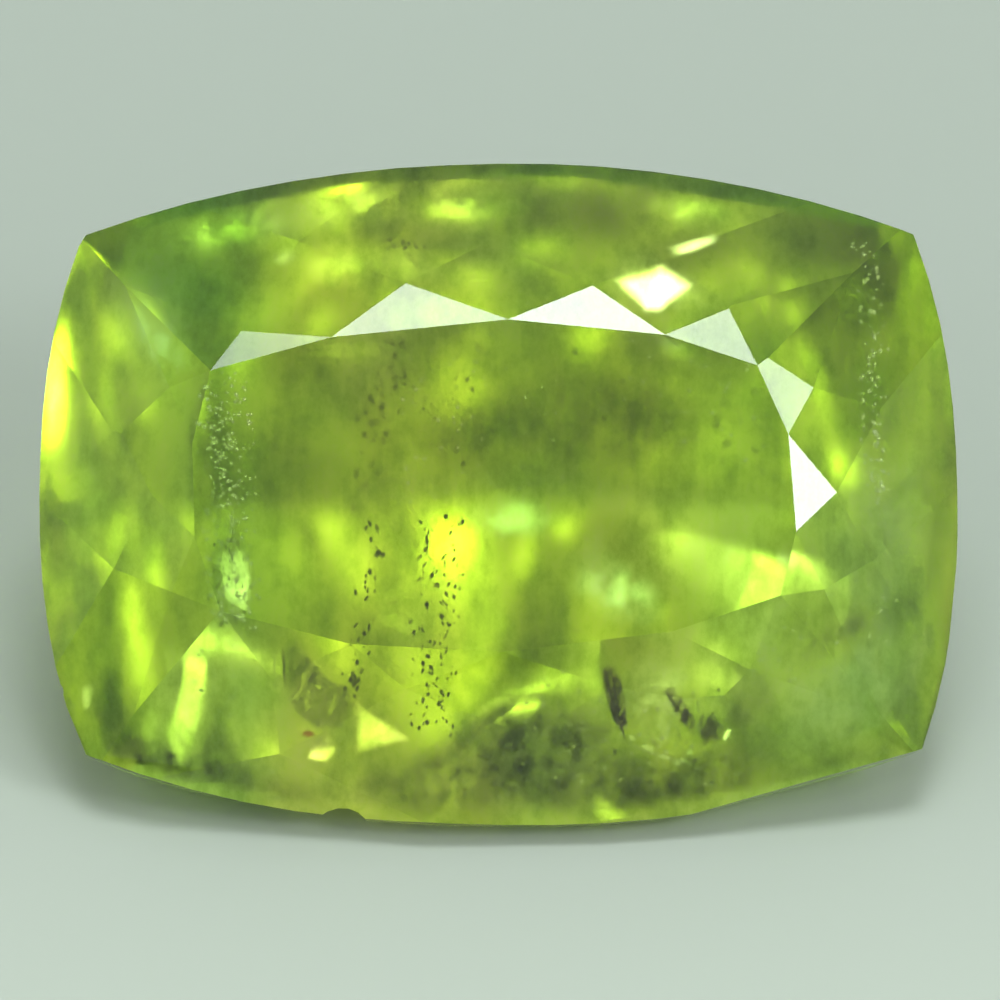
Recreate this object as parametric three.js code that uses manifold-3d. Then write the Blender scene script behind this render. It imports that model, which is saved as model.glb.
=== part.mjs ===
// A cushion-cut green beryl of 18 mm: a table and a crown of flat facets, a thin girdle, and a deep
// pavilion that ends in a keel. It lies on the large lower facet of its pavilion, so the table is
// turned up and to the front (-Y). The whole stone is one crystal, so it is one solid.
//
// The stone is first cut in its own frame: table at z = 0 and facing +z, x along the stone, y across
// it toward the side that lies uppermost. Each facet is one plane, and the stone is what is left
// inside all of them, as it is at the cutter's wheel.
import * as THREE from 'three';
import { mergeVertices } from 'three/addons/utils/BufferGeometryUtils.js';
import Module from 'manifold-3d';

// Driving dimensions, in millimetres and degrees.
const CROWN_DEPTH = 1.8;
const GIRDLE_THICKNESS = 0.6;
const TOTAL_DEPTH = 8.7;
const STAR_ANGLE = 22;
const MAIN_ANGLE = 42;
const MIDDLE_ANGLE = 45;
const LONG_BREAK_ANGLE = 60;
const LONG_BREAK_DEPTH = 0.8;
const END_BREAK_ANGLE = 70;
const CORNER_ANGLE = 56;
const CORNER_AZIMUTH = 48;
const KEEL_HALF_LENGTH = 5.8;
const KEEL_OFFSET = 0.45;
const END_MIDDLE = { x: 7.4, y: 0.2, depth: 6.0 };
const ROUGH_HALF = 12;

// The bowed sides of the outline: base + lean * t - bow * |t| ^ power, with t = (along - middle) / half.
const TOP_SIDE = { middle: -0.92, half: 8, base: 6.55, lean: 0.35, bow: 1.35, power: 2.15 };
const RIGHT_SIDE = { middle: 0.2, half: 5, base: 8.99, lean: -0.1, bow: 0.75, power: 2.4 };
const BOTTOM_SIDE = { middle: -0.52, half: 8, base: -6.42, lean: -0.2, bow: -1.36, power: 2.4 };
const LEFT_SIDE = { middle: 0.28, half: 5, base: -8.97, lean: 0.07, bow: -0.81, power: 2.4 };
const SIDE_ENDS = { top: [-8.08, 8.14], right: [5.1, -4.95], bottom: [8.14, -7.99], left: [-5.01, 4.94] };
const LONG_SIDE_STEPS = 16;
const SHORT_SIDE_STEPS = 12;

// Points on the girdle where the facets of the crown and the pavilion meet it, clockwise from the
// upper left corner.
const GIRDLE_POINTS = [
  [-8.1, 5.0], [-6.1, 5.8], [-2.0, 6.45], [1.6, 6.55], [6.1, 5.8],
  [8.15, 5.15], [8.65, 3.15], [8.95, 0.15], [8.6, -3.25],
  [8.15, -4.95], [6.85, -5.65], [2.0, -6.35], [-1.45, -6.4], [-6.85, -5.55],
  [-7.85, -5.1], [-8.6, -3.25], [-8.9, -0.1], [-8.7, 3.05],
];
const UPPER_SIDE_POINTS = [1, 2, 3];
const CORNERS = [
  { point: 0, across: -1, up: 1 },
  { point: 5, across: 1, up: 1 },
  { point: 9, across: 1, up: -1 },
  { point: 14, across: -1, up: -1 },
];

// The crown's fourteen sectors, clockwise from the upper left corner. Each has a corner of the table,
// the peak of the star facet that follows it, and the outer tip of its kite. A kite with a tipDepth
// is split in two, from the table's corner or a split point to that tip. A base gives the two girdle
// points of the sector's girdle facet, which ends at the kite's tip or at its own apex. The facet
// under the star's peak meets it, or has its own outer point just past it.
const SECTORS = [
  { table: [-5.6, 2.3], peak: [-5.0, 3.1], tip: [-7.3, 4.1], tipDepth: 1.2 },
  { table: [-3.25, 2.95], peak: [-1.8, 4.05], tip: [-3.9, 4.95], base: [1, 2] },
  { table: [0.2, 3.3], peak: [1.85, 4.0], tip: [-0.2, 4.9], base: [2, 3] },
  {
    table: [3.25, 3.0], peak: [4.5, 3.55], tip: [3.25, 4.55], base: [3, 4], apex: [3.25, 4.75],
    outer: [4.5, 3.65],
  },
  { table: [5.05, 2.4], peak: [6.15, 2.0], tip: [6.95, 4.35], tipDepth: 1.15, split: [5.35, 2.5] },
  { table: [5.65, 1.05], peak: [6.6, -0.05], tip: [7.5, 1.65], base: [6, 7], apex: [7.45, 1.55] },
  { table: [5.8, -0.85], peak: [6.35, -1.95], tip: [7.3, -1.35], base: [7, 8] },
  { table: [5.5, -2.1], peak: [4.9, -3.5], tip: [7.5, -4.35], tipDepth: 1.35 },
  { table: [3.4, -2.8], peak: [2.15, -3.85], tip: [4.25, -4.15], base: [10, 11], apex: [3.75, -4.05] },
  { table: [0.1, -3.2], peak: [-1.8, -3.9], tip: [0.65, -4.8], base: [11, 12], apex: [0.65, -4.95] },
  { table: [-2.85, -3.05], peak: [-4.4, -3.7], tip: [-4.25, -5.1], base: [12, 13] },
  { table: [-5.4, -2.4], peak: [-6.35, -2.0], tip: [-7.1, -4.3], tipDepth: 1.25 },
  { table: [-5.9, -0.95], peak: [-6.75, -0.1], tip: [-7.5, -1.5], base: [15, 16] },
  { table: [-5.95, 0.85], peak: [-6.4, 2.0], tip: [-7.35, 1.15], base: [16, 17], apex: [-7.55, 1.15] },
];

// Damage on the girdle: one shell-shaped chip at the lower side and two nicks at the left one. Each
// is the hollow of an ellipsoid.
const DAMAGE = [
  { centre: [-3.14, -6.72, -2.6], radii: [0.66, 0.7, 1.8], lean: 8 },
  { centre: [-8.66, -3.82, -2.0], radii: [0.17, 0.2, 0.5], lean: 0 },
  { centre: [-8.58, -4.06, -2.1], radii: [0.13, 0.15, 0.5], lean: 0 },
];
const ELLIPSOID_STEPS = { around: 18, down: 12 };

// Which way a facet is tipped from the table's level, and two azimuths in degrees from +x.
const CROWN_SIDE = 1;
const PAVILION_SIDE = -1;
const UPRIGHT = 90;
const UPPER_SIDE_AZIMUTH = 90;
const LOWER_SIDE_AZIMUTH = -90;

// Tolerances of the plane cutting, in millimetres.
const ON_PLANE = 1e-7;
const SAME_POINT = 1e-5;

const INSIDE = new THREE.Vector3(0, 0, -CROWN_DEPTH - GIRDLE_THICKNESS / 2);

const at = (list, index) => list[(index + list.length) % list.length];

const radians = THREE.MathUtils.degToRad;

function outward(plane) {
  return plane.distanceToPoint(INSIDE) > 0 ? plane.negate() : plane;
}

function planeThrough(a, b, c) {
  return outward(new THREE.Plane().setFromCoplanarPoints(a, b, c));
}

// A plane through a point, turned to an azimuth and tipped by an angle from the table's level, on the
// crown's side or on the pavilion's.
function planeAt(point, azimuth, angle, side) {
  const flat = Math.sin(radians(angle));
  const normal = new THREE.Vector3(
    Math.cos(radians(azimuth)) * flat,
    Math.sin(radians(azimuth)) * flat,
    side * Math.cos(radians(angle)),
  );
  return new THREE.Plane().setFromNormalAndCoplanarPoint(normal, point);
}

function azimuthAcross(a, b) {
  const normal = [a[1] - b[1], b[0] - a[0]];
  const sign = Math.sign(normal[0] * a[0] + normal[1] * a[1]);
  return THREE.MathUtils.radToDeg(Math.atan2(sign * normal[1], sign * normal[0]));
}

// The point of the crown cut so far that lies above or below a place in the plan.
function onCrown(planes, [x, y]) {
  const heights = planes.map(({ normal, constant }) => -(constant + normal.x * x + normal.y * y) / normal.z);
  return new THREE.Vector3(x, y, Math.min(...heights));
}

function tablePlane() {
  return new THREE.Plane(new THREE.Vector3(0, 0, 1), 0);
}

function starPlane(index) {
  const from = at(SECTORS, index).table;
  const to = at(SECTORS, index + 1).table;
  return planeAt(new THREE.Vector3(...from, 0), azimuthAcross(from, to), STAR_ANGLE, CROWN_SIDE);
}

function kitePlanes(planes, index) {
  const { table, tip, tipDepth, peak, split = table } = SECTORS[index];
  const corner = new THREE.Vector3(...table, 0);
  const before = onCrown(planes, at(SECTORS, index - 1).peak);
  const after = onCrown(planes, peak);
  if (tipDepth === undefined) {
    return [planeThrough(corner, before, after)];
  }
  const low = new THREE.Vector3(...tip, -tipDepth);
  const first = planeThrough(corner, before, low);
  const start = onCrown([...planes, first], split);
  return [first, planeThrough(start, after, low)];
}

function outerPlane(planes, index) {
  const { tip, peak, outer = peak } = SECTORS[index];
  return planeThrough(
    onCrown(planes, outer),
    onCrown(planes, tip),
    onCrown(planes, at(SECTORS, index + 1).tip),
  );
}

function girdleTriangle(planes, { tip, base, apex = tip }) {
  const [left, right] = base.map((point) => onCrown(planes, GIRDLE_POINTS[point]));
  return planeThrough(onCrown(planes, apex), left, right);
}

function crownPlanes() {
  const indices = SECTORS.map((_, index) => index);
  const planes = [tablePlane()];
  planes.push(...indices.map(starPlane));
  planes.push(...indices.flatMap((index) => kitePlanes(planes, index)));
  planes.push(...indices.map((index) => outerPlane(planes, index)));
  planes.push(...SECTORS.filter(({ base }) => base).map((sector) => girdleTriangle(planes, sector)));
  return planes;
}

function bowed({ middle, half, base, lean, bow, power }, along) {
  const t = (along - middle) / half;
  return base + lean * t - bow * Math.abs(t) ** power;
}

function sidePoints(side, [from, to], steps, runsAlongX) {
  return Array.from({ length: steps + 1 }, (_, step) => {
    const along = from + ((to - from) * step) / steps;
    const across = bowed(side, along);
    return runsAlongX ? [along, across] : [across, along];
  });
}

function girdleWalls() {
  const outline = [
    ...sidePoints(TOP_SIDE, SIDE_ENDS.top, LONG_SIDE_STEPS, true),
    ...sidePoints(RIGHT_SIDE, SIDE_ENDS.right, SHORT_SIDE_STEPS, false),
    ...sidePoints(BOTTOM_SIDE, SIDE_ENDS.bottom, LONG_SIDE_STEPS, true),
    ...sidePoints(LEFT_SIDE, SIDE_ENDS.left, SHORT_SIDE_STEPS, false),
  ];
  return outline.map((point, index) => {
    const azimuth = azimuthAcross(point, at(outline, index + 1));
    return planeAt(new THREE.Vector3(...point, 0), azimuth, UPRIGHT, CROWN_SIDE);
  });
}

function atGirdle(index) {
  return new THREE.Vector3(...at(GIRDLE_POINTS, index), -CROWN_DEPTH - GIRDLE_THICKNESS);
}

// The steep facets just under the girdle, one between each two girdle points of a side.
function breakPlanes() {
  const cornerPoints = CORNERS.map(({ point }) => point);
  const planes = [];
  GIRDLE_POINTS.forEach((from, index) => {
    const ends = [index, (index + 1) % GIRDLE_POINTS.length];
    const besideCorner = ends.some((point) => cornerPoints.includes(point));
    const azimuth = azimuthAcross(from, at(GIRDLE_POINTS, index + 1));
    const onLongSide = Math.abs(Math.sin(radians(azimuth))) > Math.SQRT1_2;
    if (onLongSide && besideCorner) {
      return;
    }
    const angle = onLongSide ? LONG_BREAK_ANGLE : END_BREAK_ANGLE;
    planes.push(planeAt(atGirdle(index), azimuth, angle, PAVILION_SIDE));
  });
  return planes;
}

// On the upper side only, three facets between the break facets and the main one.
function middlePlanes() {
  const inset = LONG_BREAK_DEPTH / Math.tan(radians(LONG_BREAK_ANGLE));
  return UPPER_SIDE_POINTS.map((index) => {
    const azimuth = azimuthAcross(GIRDLE_POINTS[index], GIRDLE_POINTS[index + 1]);
    const start = atGirdle(index);
    start.x -= inset * Math.cos(radians(azimuth));
    start.y -= inset * Math.sin(radians(azimuth));
    start.z -= LONG_BREAK_DEPTH;
    return planeAt(start, azimuth, MIDDLE_ANGLE, PAVILION_SIDE);
  });
}

// At each corner, a corner facet and the hip facet that runs from it down to the end of the keel.
function cornerPlanes({ point, across, up }) {
  const corner = atGirdle(point);
  const azimuth = THREE.MathUtils.radToDeg(
    Math.atan2(up * Math.sin(radians(CORNER_AZIMUTH)), across * Math.cos(radians(CORNER_AZIMUTH))),
  );
  const endMiddle = new THREE.Vector3(across * END_MIDDLE.x, END_MIDDLE.y, -END_MIDDLE.depth);
  const keelEnd = new THREE.Vector3(across * KEEL_HALF_LENGTH, KEEL_OFFSET, -TOTAL_DEPTH);
  return [
    planeAt(corner, azimuth, CORNER_ANGLE, PAVILION_SIDE),
    planeThrough(corner, endMiddle, keelEnd),
  ];
}

// The two large facets that meet in the keel. The stone lies on the lower one.
function mainPlanes() {
  const keel = new THREE.Vector3(0, KEEL_OFFSET, -TOTAL_DEPTH);
  return [LOWER_SIDE_AZIMUTH, UPPER_SIDE_AZIMUTH].map(
    (azimuth) => planeAt(keel, azimuth, MAIN_ANGLE, PAVILION_SIDE),
  );
}

function roughBlock() {
  const corner = (x, y, z) => new THREE.Vector3(x, y, z).multiplyScalar(ROUGH_HALF);
  const signs = [[-1, -1], [1, -1], [1, 1], [-1, 1]];
  return [-1, 1].flatMap((side) => [
    signs.map(([a, b]) => corner(side, a, b)),
    signs.map(([a, b]) => corner(a, side, b)),
    signs.map(([a, b]) => corner(a, b, side)),
  ]);
}

function crossing(inner, outer, innerDistance, outerDistance) {
  return inner.clone().lerp(outer, innerDistance / (innerDistance - outerDistance));
}

// Sorts the points of a convex rim by their angle about its middle.
function ordered(rim, normal) {
  const middle = rim.reduce((sum, point) => sum.add(point), new THREE.Vector3()).divideScalar(rim.length);
  const across = rim[0].clone().sub(middle).normalize();
  const up = normal.clone().cross(across);
  const angle = (point) => {
    const arm = point.clone().sub(middle);
    return Math.atan2(arm.dot(up), arm.dot(across));
  };
  return [...rim].sort((a, b) => angle(a) - angle(b));
}

// Cuts a convex body, held as loops of corners, by a plane, and closes it with a new facet.
function cut(loops, plane) {
  const rim = [];
  const addToRim = (point) => {
    if (!rim.some((other) => other.distanceTo(point) < SAME_POINT)) {
      rim.push(point);
    }
  };
  const distanceTo = (point) => {
    const distance = plane.distanceToPoint(point);
    return Math.abs(distance) < ON_PLANE ? 0 : distance;
  };
  const kept = [];
  for (const loop of loops) {
    const remains = [];
    loop.forEach((point, index) => {
      const next = at(loop, index + 1);
      const here = distanceTo(point);
      const there = distanceTo(next);
      if (here <= 0) {
        remains.push(point);
      }
      if (here === 0) {
        addToRim(point);
      }
      if (here * there < 0) {
        const cross = here < 0 ? crossing(point, next, here, there) : crossing(next, point, there, here);
        remains.push(cross);
        addToRim(cross);
      }
    });
    if (remains.length > 2 && remains.some((point) => distanceTo(point) < 0)) {
      kept.push(remains);
    }
  }
  return rim.length > 2 ? [...kept, ordered(rim, plane.normal)] : kept;
}

// Turns the loops into triangles that face outward.
function bodyGeometry(loops) {
  const positions = [];
  for (const loop of loops) {
    for (let index = 1; index < loop.length - 1; index += 1) {
      const triangle = new THREE.Triangle(loop[0], loop[index], loop[index + 1]);
      const normal = triangle.getNormal(new THREE.Vector3());
      const facesOut = normal.dot(loop[0].clone().sub(INSIDE)) > 0;
      const corners = facesOut ? [triangle.a, triangle.b, triangle.c] : [triangle.a, triangle.c, triangle.b];
      corners.forEach((corner) => positions.push(...corner.toArray()));
    }
  }
  return new THREE.BufferGeometry().setAttribute('position', new THREE.Float32BufferAttribute(positions, 3));
}

function toSolid(geometry) {
  const bare = geometry.clone();
  bare.deleteAttribute('normal');
  bare.deleteAttribute('uv');
  const merged = mergeVertices(bare, SAME_POINT);
  return new wasm.Manifold(new wasm.Mesh({
    numProp: 3,
    vertProperties: merged.attributes.position.array,
    triVerts: merged.index.array,
  }));
}

function fromSolid(solid) {
  const { vertProperties, triVerts } = solid.getMesh();
  const geometry = new THREE.BufferGeometry();
  geometry.setAttribute('position', new THREE.BufferAttribute(vertProperties, 3));
  geometry.setIndex(new THREE.BufferAttribute(triVerts, 1));
  const faceted = geometry.toNonIndexed();
  faceted.computeVertexNormals();
  return faceted;
}

function hollow({ centre, radii, lean }) {
  const geometry = new THREE.SphereGeometry(1, ELLIPSOID_STEPS.around, ELLIPSOID_STEPS.down);
  geometry.rotateX(Math.PI / 2);
  geometry.scale(...radii);
  geometry.rotateY(radians(lean));
  geometry.translate(...centre);
  return toSolid(geometry);
}

function cutStone() {
  const planes = [
    ...crownPlanes(),
    ...girdleWalls(),
    ...breakPlanes(),
    ...middlePlanes(),
    ...CORNERS.flatMap(cornerPlanes),
    ...mainPlanes(),
  ];
  const whole = toSolid(bodyGeometry(planes.reduce(cut, roughBlock())));
  return fromSolid(DAMAGE.reduce((solid, damage) => solid.subtract(hollow(damage)), whole));
}

const wasm = await Module();
wasm.setup();

const material = new THREE.MeshStandardMaterial({ color: '#8cbb3c', roughness: 0.05, metalness: 0 });
const beryl = new THREE.Mesh(cutStone(), material);
beryl.name = 'beryl';

// Laid on the lower main facet, then moved so that the origin is in the middle of its underside.
beryl.rotation.x = radians(MAIN_ANGLE);
beryl.updateMatrixWorld();
const bounds = new THREE.Box3().setFromObject(beryl, true);
const centre = bounds.getCenter(new THREE.Vector3());
beryl.position.set(-centre.x, -centre.y, -bounds.min.z);

const stone = new THREE.Group();
stone.add(beryl);

export default stone;
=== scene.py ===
import math

import bmesh
import bpy
from mathutils import Matrix, Vector, noise
from mathutils.bvhtree import BVHTree


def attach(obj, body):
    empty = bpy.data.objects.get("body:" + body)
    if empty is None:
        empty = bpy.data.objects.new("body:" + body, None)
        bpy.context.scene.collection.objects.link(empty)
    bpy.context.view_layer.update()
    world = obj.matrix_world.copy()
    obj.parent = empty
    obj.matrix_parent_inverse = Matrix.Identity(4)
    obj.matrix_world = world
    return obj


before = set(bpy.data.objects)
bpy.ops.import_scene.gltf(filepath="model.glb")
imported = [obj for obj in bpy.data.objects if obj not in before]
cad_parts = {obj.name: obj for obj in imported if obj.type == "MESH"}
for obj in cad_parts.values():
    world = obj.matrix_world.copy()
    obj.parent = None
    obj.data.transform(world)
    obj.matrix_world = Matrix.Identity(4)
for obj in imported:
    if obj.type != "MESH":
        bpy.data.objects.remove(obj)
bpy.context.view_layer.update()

# How the stone lies and is seen.
# A cut gem rests on a facet of its pavilion, with its table leaning towards a long lens that looks down on
# it. The tilt and the seat are those of the solid, so a point of the cut can be given in the stone's axes.
MM = 0.001
LEAN = math.radians(42.0)
TABLE_MIDDLE = Vector((-0.011, -1.549, 6.164))
LENS_ELEVATION = math.radians(42.4)
LENS_DISTANCE = 300.0
FRAME_SIZE = 1000.0
PIXELS_PER_MM = 51.1
SENSOR = 36.0
GIRDLE_MIDDLE = Vector((0.0, 0.0, -1.8))
GIRDLE_MIDDLE_PIXEL = (498.0, 497.0)


def in_the_room(point):
    """A point in the stone's axes (table at z 0, in mm) as metres in the row frame."""
    return (Matrix.Rotation(LEAN, 3, "X") @ Vector(point) + TABLE_MIDDLE) * MM


lens_target = in_the_room(GIRDLE_MIDDLE)
lens_direction = Vector((0.0, -math.cos(LENS_ELEVATION), math.sin(LENS_ELEVATION)))
lens_data = bpy.data.cameras.new("long_lens")
lens_data.sensor_width = SENSOR
lens_data.lens = PIXELS_PER_MM * LENS_DISTANCE / FRAME_SIZE * SENSOR
lens_data.shift_x = (FRAME_SIZE / 2 - GIRDLE_MIDDLE_PIXEL[0]) / FRAME_SIZE
lens_data.shift_y = (GIRDLE_MIDDLE_PIXEL[1] - FRAME_SIZE / 2) / FRAME_SIZE
lens_data.clip_start = 0.01
lens_data.clip_end = 50.0
lens = bpy.data.objects.new("long_lens", lens_data)
bpy.context.scene.collection.objects.link(lens)
lens.location = lens_target + lens_direction * LENS_DISTANCE * MM
lens.rotation_mode = "QUATERNION"
lens.rotation_quaternion = (-lens_direction).to_track_quat("-Z", "Y")
bpy.context.scene.camera = lens

# The stone: green beryl, cut by hand on a lap and polished, with its pavilion left a little less sharp.
# Light runs through it, turns at the pavilion and comes back, so its colour comes from depth.
BERYL_IOR = 1.577
ABSORBED_PER_MM = (0.0225, 0.0135, 0.165)
ABSORPTION_DENSITY = 190.0
GIRDLE_UNDERSIDE = -2.5
GIRDLE_TOP = -2.3
CROWN_ROUGHNESS = 0.28
PAVILION_ROUGHNESS = 0.0
KEEL_LEVEL = -8.7
KEEL_WEAR = 0.7
KEEL_ROUGHNESS = 0.55
WAVE_WIDTH = 4.2
WAVE_HEIGHT = 1.0
WAVE_STRETCH = (1.0, 0.5, 0.6)
# Tints across the stone, placed in mm; the yellow stops at both ends are painted light.
COLOUR_ZONES_AND_PAINTED_END_LIGHT = (
    (-9.0, "#FEFFC0"), (-7.4, "#E2FFC8"), (-5.2, "#E2FFCC"), (-3.8, "#FFFCD0"), (-1.0, "#FFFCD0"),
    (0.4, "#EEFFCC"), (2.4, "#FAFFD0"), (5.0, "#EAFFD4"), (7.4, "#EAFFD4"), (9.0, "#FEFFC0"),
)
ZONE_WOBBLE = 2.2
ZONE_GRAIN = 3.5
VEIL_GRAIN = 1.4
VEIL_STRETCH = 1.5
STREAK_WIDTH = 0.35
STREAK_LENGTH = 4.0
STREAK_SHARE = 0.16
VEIL_COLOURS = ((0.34, "#7E9A3C"), (0.45, "#BCD080"), (0.54, "#F0FAC8"), (0.64, "#FFFFFF"))


def linear(colour):
    """An sRGB hex colour as a linear RGBA tuple."""
    channels = [int(colour[place:place + 2], 16) / 255 for place in (1, 3, 5)]
    return tuple(c / 12.92 if c <= 0.04045 else ((c + 0.055) / 1.055) ** 2.4 for c in channels) + (1.0,)


def add_node(tree, kind, settings=None, inputs=None):
    """A node in the tree, with its settings, and with each input set to a value or linked from a socket."""
    node = tree.nodes.new(kind)
    for name, value in (settings or {}).items():
        setattr(node, name, value)
    for name, value in (inputs or {}).items():
        if isinstance(value, bpy.types.NodeSocket):
            tree.links.new(value, node.inputs[name])
        else:
            node.inputs[name].default_value = value
    return node


def set_stops(ramp, stops):
    """Gives a colour ramp its stops, each a share along the ramp and an sRGB hex colour."""
    for number, (share, colour) in enumerate(stops):
        stop = ramp.elements[number] if number < 2 else ramp.elements.new(share)
        stop.position, stop.color = share, linear(colour)


def new_material(name):
    """An empty node material and its output node."""
    material = bpy.data.materials.new(name)
    material.use_nodes = True
    material.node_tree.nodes.clear()
    output = material.node_tree.nodes.new("ShaderNodeOutputMaterial")
    return material, material.node_tree, output


polished_beryl, tree, output = new_material("polished_green_beryl")
place = add_node(tree, "ShaderNodeTexCoord")
# Turned back by the lean, the Z of this place is the height above the table, in metres.
cut_place = add_node(tree, "ShaderNodeMapping", {"vector_type": "TEXTURE"}, {
    "Vector": place.outputs["Object"], "Location": TABLE_MIDDLE * MM, "Rotation": (LEAN, 0.0, 0.0),
})
cut_axes = add_node(tree, "ShaderNodeSeparateXYZ", inputs={"Vector": cut_place.outputs["Vector"]})
crown_side = add_node(tree, "ShaderNodeMapRange", inputs={
    "Value": cut_axes.outputs["Z"], "From Min": GIRDLE_UNDERSIDE * MM, "From Max": GIRDLE_TOP * MM,
}).outputs["Result"]
pavilion_finish = add_node(tree, "ShaderNodeMapRange", inputs={
    "Value": cut_axes.outputs["Z"], "From Min": KEEL_LEVEL * MM, "From Max": (KEEL_LEVEL + KEEL_WEAR) * MM,
    "To Min": KEEL_ROUGHNESS, "To Max": PAVILION_ROUGHNESS,
}).outputs["Result"]
finish = add_node(tree, "ShaderNodeMix", {"data_type": "FLOAT"}, {
    "Factor": crown_side, "A": pavilion_finish, "B": CROWN_ROUGHNESS,
}).outputs["Result"]
pavilion_side = add_node(tree, "ShaderNodeMath", {"operation": "SUBTRACT"}, {
    0: 1.0, 1: crown_side,
}).outputs["Value"]
wave_place = add_node(tree, "ShaderNodeMapping", inputs={
    "Vector": cut_place.outputs["Vector"], "Scale": WAVE_STRETCH,
})
waves = add_node(tree, "ShaderNodeTexNoise", inputs={
    "Vector": wave_place.outputs["Vector"], "Scale": 1 / (WAVE_WIDTH * MM), "Detail": 0.0,
}).outputs["Fac"]
wavy = add_node(tree, "ShaderNodeBump", inputs={
    "Height": waves, "Distance": WAVE_HEIGHT * MM, "Strength": pavilion_side,
})
# The colour was laid down in upright zones, yellower in the middle. Along the two ends it is yellower too:
# there the yellow is painted light, tinting the bright bands that the light from the sides makes.
wobble = add_node(tree, "ShaderNodeTexNoise", inputs={
    "Vector": cut_place.outputs["Vector"], "Scale": 1 / (ZONE_GRAIN * MM), "Detail": 0.0,
})
drift = add_node(tree, "ShaderNodeMath", {"operation": "MULTIPLY_ADD"}, {
    0: wobble.outputs["Fac"], 1: ZONE_WOBBLE * MM, 2: cut_axes.outputs["X"],
})
zone_first, zone_last = COLOUR_ZONES_AND_PAINTED_END_LIGHT[0][0], COLOUR_ZONES_AND_PAINTED_END_LIGHT[-1][0]
zone_place = add_node(tree, "ShaderNodeMapRange", inputs={
    "Value": drift.outputs["Value"],
    "From Min": (zone_first + ZONE_WOBBLE / 2) * MM, "From Max": (zone_last + ZONE_WOBBLE / 2) * MM,
})
zones = add_node(tree, "ShaderNodeValToRGB", inputs={"Fac": zone_place.outputs["Result"]})
set_stops(zones.color_ramp, [
    ((across - zone_first) / (zone_last - zone_first), colour) for across, colour in COLOUR_ZONES_AND_PAINTED_END_LIGHT])
# Fine veils and upright growth streaks thin the light that comes through, in clumps of about a millimetre.
veil_place = add_node(tree, "ShaderNodeMapping", {"vector_type": "TEXTURE"}, {
    "Vector": cut_place.outputs["Vector"], "Scale": (1.0, VEIL_STRETCH, VEIL_STRETCH),
})
veils = add_node(tree, "ShaderNodeTexNoise", inputs={
    "Vector": veil_place.outputs["Vector"], "Scale": 1 / (VEIL_GRAIN * MM), "Detail": 7.0, "Roughness": 0.66,
})
streak_place = add_node(tree, "ShaderNodeMapping", {"vector_type": "TEXTURE"}, {
    "Vector": cut_place.outputs["Vector"], "Scale": (1.0, STREAK_LENGTH / STREAK_WIDTH, 1.0),
})
growth_streaks = add_node(tree, "ShaderNodeTexNoise", inputs={
    "Vector": streak_place.outputs["Vector"], "Scale": 1 / (STREAK_WIDTH * MM), "Detail": 2.0,
})
veils_and_streaks = add_node(tree, "ShaderNodeMix", {"data_type": "FLOAT"}, {
    "Factor": STREAK_SHARE, "A": veils.outputs["Fac"], "B": growth_streaks.outputs["Fac"],
})
veil_colours = add_node(tree, "ShaderNodeValToRGB", inputs={"Fac": veils_and_streaks.outputs["Result"]})
set_stops(veil_colours.color_ramp, VEIL_COLOURS)
body_tint = add_node(tree, "ShaderNodeMix", {"data_type": "RGBA", "blend_type": "MULTIPLY"}, {"Factor": 1.0})
tree.links.new(zones.outputs["Color"], body_tint.inputs[6])
tree.links.new(veil_colours.outputs["Color"], body_tint.inputs[7])
glass = add_node(tree, "ShaderNodeBsdfPrincipled", inputs={
    "Base Color": body_tint.outputs[2], "Roughness": finish, "IOR": BERYL_IOR,
    "Transmission Weight": 1.0, "Normal": wavy.outputs["Normal"],
    "Coat Weight": crown_side, "Coat Roughness": 0.0, "Coat IOR": BERYL_IOR,
    "Specular Tint": (0.0, 0.0, 0.0, 1.0),
})
depth_colour = tuple(1 - rate * 1000 / ABSORPTION_DENSITY for rate in ABSORBED_PER_MM) + (1.0,)
body_colour = add_node(tree, "ShaderNodeVolumeAbsorption", inputs={
    "Color": depth_colour, "Density": ABSORPTION_DENSITY,
})
tree.links.new(glass.outputs["BSDF"], output.inputs["Surface"])
tree.links.new(body_colour.outputs["Volume"], output.inputs["Volume"])
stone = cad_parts["beryl"]
stone.data.materials.clear()
stone.data.materials.append(polished_beryl)

# Clouds: as the crystal grew, minute fluid drops and dust were caught in it, thicker in some zones.
# The cloud is a thin wavy sheet inside the stone, with its thickness kept at its points. The drops scatter
# light and the dust is smoky, but its dark patches are also partly painted shade and its pale patches
# partly painted light. Their places are given by where they show through the crown.
stone_walls = BVHTree.FromPolygons(
    [v.co.copy() for v in stone.data.vertices], [tuple(f.vertices) for f in stone.data.polygons])
lens_up = Vector((0.0, math.sin(LENS_ELEVATION), math.cos(LENS_ELEVATION)))
pixels_of_focus = PIXELS_PER_MM * LENS_DISTANCE
CLOUD_STEP = 9.0
CLOUD_CLEARANCE = 0.12
CLOUD_FADE = 0.35
CLOUD_GRAIN = 0.42
CLOUD_STRETCH = 2.2
CLOUD_GAPS = 0.18
CLOUD_FULL = 0.62
CLOUD_MOTTLE = 0.45
RIPPLE_ACROSS = 0.009
RIPPLE_DOWN = 0.006
RIPPLE_SLICE = 3.1
PATCH_CORE = 1.25
PATCH_FADE = 0.9
THINNEST_CLOUD = 0.002
LEAST_COVER = 0.0001
# Dark for dust and painted shade, yellow in the middle, pale for haze and painted light.
CLOUD_COLOURS_WITH_PAINTED_SHADE_AND_LIGHT = ((0.15, "#2A380A"), (0.5, "#CCDC4C"), (0.9, "#E6F5DC"))


def bent(ray, facet):
    """The direction of a ray inside the stone, after it enters through a face."""
    slant = -ray.dot(facet)
    inside = ray / BERYL_IOR + facet * (slant / BERYL_IOR - math.sqrt(1 - (1 - slant ** 2) / BERYL_IOR ** 2))
    return inside.normalized()


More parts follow.
